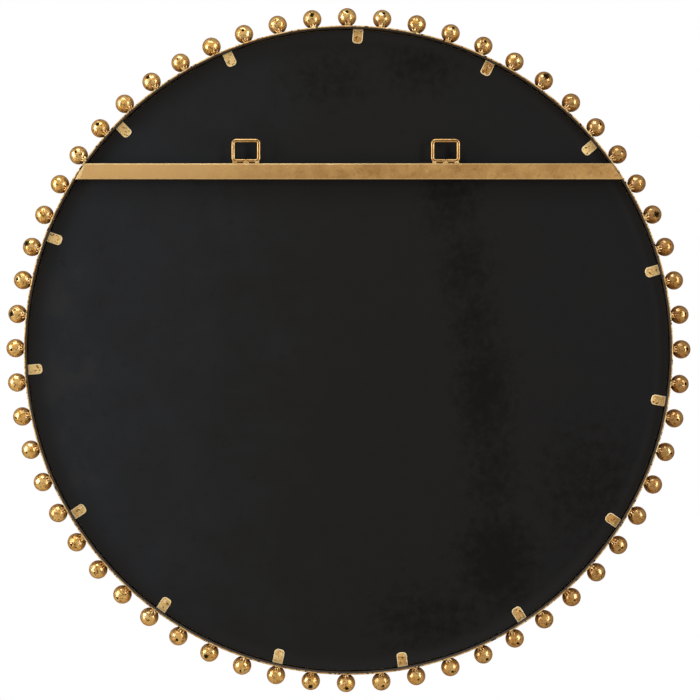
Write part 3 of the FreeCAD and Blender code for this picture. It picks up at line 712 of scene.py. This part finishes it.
beadLook = ballLook | {
    "leanDegrees": 0.0,
    "wanderDegrees": 13.0,
    "hiddenShare": 0.0,
    "sizeShare": 0.26,
    "roughenMm": 3.4,
    "roughenSizeMm": 1.9,
    "backMm": 7.0,  # the bead's middle from the ball's, along the hoop's depth
    # middle and half size of each lobe (outward, along the depth, along the hoop), and its splay
    "lobesMm": [((2.3, 0.2, 0.0), (4.2, 3.0, 1.15), 0), ((1.7, -0.3, 2.1), (3.1, 2.8, 0.9), 24),
                ((1.8, -0.2, -2.0), (3.3, 2.8, 0.95), -20), ((0.0, -1.0, 0.0), (1.2, 2.4, 3.0), 0)],
    "subdivisions": 3,
    "seed": 11,
}


def beadMesh(look):  # a weld bead of overlapping lobes, the middle one drawn out over the ball
    bm = bmesh.new()
    for middle, half, splay in look["lobesMm"]:
        place = (Matrix.Translation(Vector(middle) * mm) @ Matrix.Rotation(math.radians(-splay), 4, "Y")
                 @ Matrix.Diagonal((*(h * mm for h in half), 1)))
        bmesh.ops.create_icosphere(bm, subdivisions=look["subdivisions"], radius=1.0, matrix=place)
    mesh = meshOf(bm, "bead")
    smoothShade(mesh, creaseDegrees=180)
    return mesh


beads = roundTheHoop("ballWelds", beadMesh(beadLook), beadLook, weldLeaf, hoopOuter,
                     hoopMiddle + beadLook["backMm"] * mm)
finishPiece(beads, "gilded_weld", "ball_welds")
print("balls and weld beads made")


# tabs and bar: the sheared and sawn pieces keep their CAD form, with their edges eased

copyLook = {"joinMm": 0.005, "flatDegrees": 2.0, "sharpDegrees": 30.0, "backTilt": 0.999}


def cleanCopy(nodeName):  # a CAD node's mesh, joined up and with its flat faces whole
    bm = bmesh.new()
    bm.from_mesh(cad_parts[nodeName].data)
    bmesh.ops.remove_doubles(bm, verts=bm.verts, dist=copyLook["joinMm"] * mm)
    bmesh.ops.recalc_face_normals(bm, faces=bm.faces)
    bmesh.ops.dissolve_limit(bm, angle_limit=math.radians(copyLook["flatDegrees"]), verts=bm.verts,
                             edges=bm.edges)
    return bm


def easedCopy(nodeName, name, look, *materials):
    bm = cleanCopy(nodeName)
    sharp = [e for e in bm.edges if len(e.link_faces) == 2
             and e.calc_face_angle() > math.radians(copyLook["sharpDegrees"])]
    eased = bmesh.ops.bevel(bm, geom=sharp, offset=look["edgeMm"] * mm, segments=look["edgeSteps"],
                            profile=0.5, affect="EDGES", clamp_overlap=True)
    if "paintedHighlightMm" in look:  # painted highlight: the leaf paler along the edges
        backs = [f for f in bm.faces if f.normal.y > copyLook["backTilt"] and f not in eased["faces"]]
        highlightRim = bmesh.ops.inset_region(bm, faces=backs, thickness=look["paintedHighlightMm"] * mm, use_even_offset=True)
        for face in eased["faces"] + highlightRim["faces"]:
            face.material_index = 1
    mesh = meshOf(bm, name)
    smoothShade(mesh, creaseDegrees=60)
    return newPiece(name, mesh, *materials)


tabLook = {
    "edgeMm": 0.4, "edgeSteps": 2, "paintedHighlightMm": 0.7,
    # each tab's own tone, from deep to light
    "tones": [0.7, 0.95, 0.15, 0.45, 1.1, 1.2, 1.2, 1.0, 0.6, 0.65, 0.6, 0.4, 0.28, 0.3, 0.65],
}
for number, tone in enumerate(tabLook["tones"], 1):
    nodeName = f"retaining_tab_{number:02d}"
    tab = easedCopy(nodeName, f"retainingTab{number:02d}", tabLook, tabLeaf, edgeHighlightLeaf)
    toned = tab.data.attributes.new("tone", "FLOAT", "POINT")
    toned.data.foreach_set("value", [tone] * len(tab.data.vertices))
    finishPiece(tab, "gilded_strip", nodeName)

barLook = {"edgeMm": 0.4, "edgeSteps": 3, "groundTilt": (0.9, 0.985), "groundMm2": 9.0}
bar = easedCopy("hanging_bar", "hangingBar", barLook, barLeaf, groundLeafHighlight)
leastTilt, mostTilt = barLook["groundTilt"]
for face in bar.data.polygons:  # the ground corner is the one large back face that leans a little
    if leastTilt < face.normal.y < mostTilt and face.area > barLook["groundMm2"] * mm ** 2:
        face.material_index = 1
finishPiece(bar, "gilded_bar", "hanging_bar")
print("tabs and bar made")


# hanger rings: round wire bent about four corners

ringLook = {
    "wireMm": 4.6,
    "bendMm": 3.5,
    "endGapMm": 1.0,
    "sides": 24,
    "bendSteps": 8,
}


def ringPath(low, high, look):  # stops along the wire's centre line, from one end round to the other
    wire, bend = look["wireMm"] * mm / 2, look["bendMm"] * mm
    centreX, depth = (low.x + high.x) / 2, (low.y + high.y) / 2
    half, bottom, top = (high.x - low.x) / 2 - wire, low.z + wire, high.z - wire
    gap = look["endGapMm"] * mm / 2
    stops = [Vector((centreX + gap, depth, bottom))]
    for quarter, (side, z) in enumerate([(1, bottom), (1, top), (-1, top), (-1, bottom)]):
        rise = 1 if z == bottom else -1
        for step in range(look["bendSteps"] + 1):
            turn = math.pi / 2 * (quarter - 1 + step / look["bendSteps"])
            stops.append(Vector((centreX + side * (half - bend) + bend * math.cos(turn), depth,
                                 z + rise * bend + bend * math.sin(turn))))
    stops.append(Vector((centreX - gap, depth, bottom)))
    return stops


def sweptWire(name, stops, look, material):
    bm = bmesh.new()
    rings = []
    offCrown = []
    for at, stop in enumerate(stops):
        before, after = stops[max(at - 1, 0)], stops[min(at + 1, len(stops) - 1)]
        along = (after - before).normalized()
        across = along.cross(Vector((0, 1, 0))).normalized()
        ring = []
        for side in range(look["sides"]):
            turn = 2 * math.pi * side / look["sides"]
            ring.append(bm.verts.new(stop + look["wireMm"] * mm / 2 * (
                across * math.cos(turn) + Vector((0, 1, 0)) * math.sin(turn))))
            offCrown.append(look["wireMm"] * mm / 2 * (abs(math.cos(turn)) if math.sin(turn) > 0 else 2))
        rings.append(ring)
    joinRings(bm, rings)
    bm.faces.new(rings[0])
    bm.faces.new(rings[-1])
    bmesh.ops.recalc_face_normals(bm, faces=bm.faces)
    mesh = meshOf(bm, name)
    smoothShade(mesh, creaseDegrees=50)
    mesh.attributes.new("offCrown", "FLOAT", "POINT").data.foreach_set("value", offCrown)
    return newPiece(name, mesh, material)


for side in ("left", "right"):
    low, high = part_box(f"hanger_ring_{side}")
    ring = sweptWire(f"hangerRing{side.title()}", ringPath(low, high, ringLook), ringLook, wireLeaf)
    finishPiece(ring, "gilded_wire", f"hanger_ring_{side}")
print("rings made")


# the other welds: the CAD lumps, swollen and rounded as molten metal sets

weldLook = {
    "voxelMm": 0.3,
    "smoothing": 6,
    "smoothShare": 0.5,
    "swellMm": 0.25,
    "lumpMm": 0.35,
    "belowWallMm": 0.1,  # kept off the wall
    "lumpSizeMm": 1.8,
}


def moltenCopy(nodeName, name, look):
    mesh = meshOf(cleanCopy(nodeName), name + "Plain")
    source = newPiece(name + "Source", mesh)
    remesh = source.modifiers.new("even faces", "REMESH")
    remesh.mode, remesh.voxel_size = "VOXEL", look["voxelMm"] * mm
    smooth = source.modifiers.new("soft edges", "SMOOTH")
    smooth.factor, smooth.iterations = look["smoothShare"], look["smoothing"]
    even = bakedMesh(source, name)
    bpy.data.objects.remove(source)
    bm = bmesh.new()
    bm.from_mesh(even)
    bm.normal_update()
    for vert in bm.verts:
        lump = noise.noise(vert.co / (look["lumpSizeMm"] * mm)) * look["lumpMm"]
        vert.co += vert.normal * (look["swellMm"] + lump) * mm
        vert.co.y = min(vert.co.y, -look["belowWallMm"] * mm)
    mesh = meshOf(bm, name)
    smoothShade(mesh, creaseDegrees=180)
    return newPiece(name, mesh, weldLeaf)


for nodeName, name in (("ring_welds_left", "ringWeldsLeft"), ("ring_welds_right", "ringWeldsRight"),
                       ("bar_welds", "barWelds")):
    finishPiece(moltenCopy(nodeName, name, weldLook), "gilded_weld", nodeName)
print("welds made")


# studio: white backdrop and floor, a tall softbox on each side and a wide one above

studio = {
    "cameraDistance": 2.8,
    "frameWidth": 0.8319,  # what the picture spans at the hoop's back edge
    "aimX": -0.00186,
    "aimZ": 0.00016,
    "sensorMm": 36.0,
    "floorDrop": 0.45,  # floor below the mirror, which hangs
    "floorWhite": (0.85, 1.0),  # near the mirror and far from it
    "fill": 0.52,  # what the room's walls give off
    "towardsLight": (0.5, 0.2, -0.84),
    "paper": "#D2BA96",  # warm, and white only where the camera or a mirror sees it
    "floorHalf": 12.0,
    "whiteFrom": 1.0, "whiteTo": 2.5,  # from the mirror, in metres
    "roomTint": "#FFE6C4",  # gilt and wood in the room warm what the metal mirrors
    # how bright the metal finds the room, from the wall behind the mirror to the camera's side
    "room": [(0.0, 0.46), (0.25, 0.45), (0.45, 0.56), (0.7, 0.68), (0.85, 0.66), (1.0, 0.64)],
    "whiteBehind": (-0.93, -0.98),  # the white backdrop's edge, as a direction's Y
    "lightShare": (0.85, 1.45),  # the room on its dark and on its bright side
    "softboxes": [  # name, place, width, height, power in watts
        ("leftSoftbox", (2.45, 1.1, 0.3), 0.9, 2.0, 30),
        ("rightSoftbox", (-2.05, 1.72, 0.35), 0.6, 2.0, 24),
        ("topSoftbox", (0.5, 1.1, 2.4), 1.6, 0.8, 20),
    ],
}
camera = bpy.data.objects.new("camera", bpy.data.cameras.new("camera"))
bpy.context.scene.collection.objects.link(camera)
camera.location = (studio["aimX"], studio["cameraDistance"], studio["aimZ"])
camera.rotation_euler = (math.radians(90), 0, math.radians(180))  # level, square on to the back
camera.data.sensor_width = studio["sensorMm"]
camera.data.lens = studio["sensorMm"] * studio["cameraDistance"] / studio["frameWidth"]
bpy.context.scene.camera = camera

for title, place, width, height, power in studio["softboxes"]:
    lamp = bpy.data.lights.new(title, "AREA")
    lamp.shape, lamp.size, lamp.size_y, lamp.energy = "RECTANGLE", width, height, power
    holder = bpy.data.objects.new(title, lamp)
    bpy.context.scene.collection.objects.link(holder)
    holder.location = place
    holder.rotation_euler = (-Vector(place)).to_track_quat("-Z", "Y").to_euler()

# metal sees the white backdrop straight behind the object and a dimmer room all round it
world = bpy.data.worlds.new("studio")
bpy.context.scene.world = world
world.use_nodes = True
tree = world.node_tree
rays, sharp = seenSharp(tree)
direction = addNode(tree, "ShaderNodeTexCoord").outputs["Generated"]
along = addNode(tree, "ShaderNodeSeparateXYZ", {"Vector": direction}).outputs["Y"]
room = addNode(tree, "ShaderNodeValToRGB", {"Fac": addNode(tree, "ShaderNodeMapRange", {
    "Value": along, "From Min": -1.0, "From Max": 1.0}).outputs["Result"]})
setRamp(room.color_ramp, [(position, (level, level, level, 1)) for position, level in studio["room"]])
towards = addNode(tree, "ShaderNodeVectorMath", {0: direction, 1: studio["towardsLight"]},
                  operation="DOT_PRODUCT")
lit = addNode(tree, "ShaderNodeMapRange", {
    "Value": towards.outputs["Value"], "From Min": -1.0, "From Max": 1.0,
    "To Min": studio["lightShare"][0], "To Max": studio["lightShare"][1]})
mirrored = addNode(tree, "ShaderNodeMath", {0: room.outputs["Color"], 1: lit.outputs["Result"]},
                   operation="MULTIPLY")
level = addNode(tree, "ShaderNodeMix", {
    0: rays["Is Glossy Ray"], 2: studio["fill"], 3: mirrored.outputs[0]}, data_type="FLOAT")
tint = addNode(tree, "ShaderNodeMix", {
    0: rays["Is Glossy Ray"], 6: (1, 1, 1, 1), 7: linear(studio["roomTint"])}, data_type="RGBA")
dim = addNode(tree, "ShaderNodeBackground", {"Color": tint.outputs[2], "Strength": level.outputs[0]})
behind = addNode(tree, "ShaderNodeMapRange", {
    "Value": along, "From Min": studio["whiteBehind"][0], "From Max": studio["whiteBehind"][1]})
glossy = addNode(tree, "ShaderNodeMath", {0: rays["Is Glossy Ray"], 1: behind.outputs["Result"]},
                 operation="MULTIPLY")
white = addNode(tree, "ShaderNodeMath", {0: sharp, 1: glossy.outputs[0]}, operation="MAXIMUM")
plain = tree.nodes["Background"]
plain.inputs["Color"].default_value = (1, 1, 1, 1)
seen = addNode(tree, "ShaderNodeMixShader", {0: white.outputs[0], 1: dim.outputs[0], 2: plain.outputs[0]})
tree.links.new(seen.outputs[0], tree.nodes["World Output"].inputs["Surface"])

floorMesh = bmesh.new()
bmesh.ops.create_grid(floorMesh, x_segments=1, y_segments=1, size=studio["floorHalf"])
bmesh.ops.translate(floorMesh, verts=floorMesh.verts, vec=(0, 0, cadBox[0][2] - studio["floorDrop"]))
floor = newPiece("floor", meshOf(floorMesh, "floor"))
paper, tree, shader = newMaterial("whitePaperSweep")
setInputs(shader, {"Base Color": linear(studio["paper"]), "Roughness": 0.9})
sharp = seenSharp(tree)[1]
where = addNode(tree, "ShaderNodeTexCoord").outputs["Object"]
flat = addNode(tree, "ShaderNodeVectorMath", {0: where, 1: (1, 1, 0)}, operation="MULTIPLY")
away = addNode(tree, "ShaderNodeVectorMath", {0: flat.outputs[0]}, operation="LENGTH")
whiteness = addNode(tree, "ShaderNodeMapRange", {
    "Value": away.outputs["Value"], "From Min": studio["whiteFrom"], "From Max": studio["whiteTo"],
    "To Min": studio["floorWhite"][0], "To Max": studio["floorWhite"][1]})
share = addNode(tree, "ShaderNodeMath", {0: sharp, 1: whiteness.outputs["Result"]}, operation="MULTIPLY")
glow = addNode(tree, "ShaderNodeEmission", {"Color": (1, 1, 1, 1), "Strength": 1.0})
mixed = addNode(tree, "ShaderNodeMixShader", {
    0: share.outputs[0], 1: shader.outputs[0], 2: glow.outputs[0]})
tree.links.new(mixed.outputs[0], tree.nodes["Material Output"].inputs["Surface"])
floor.data.materials.append(paper)

bpy.context.scene.view_settings.view_transform = "Standard"
print("studio made")
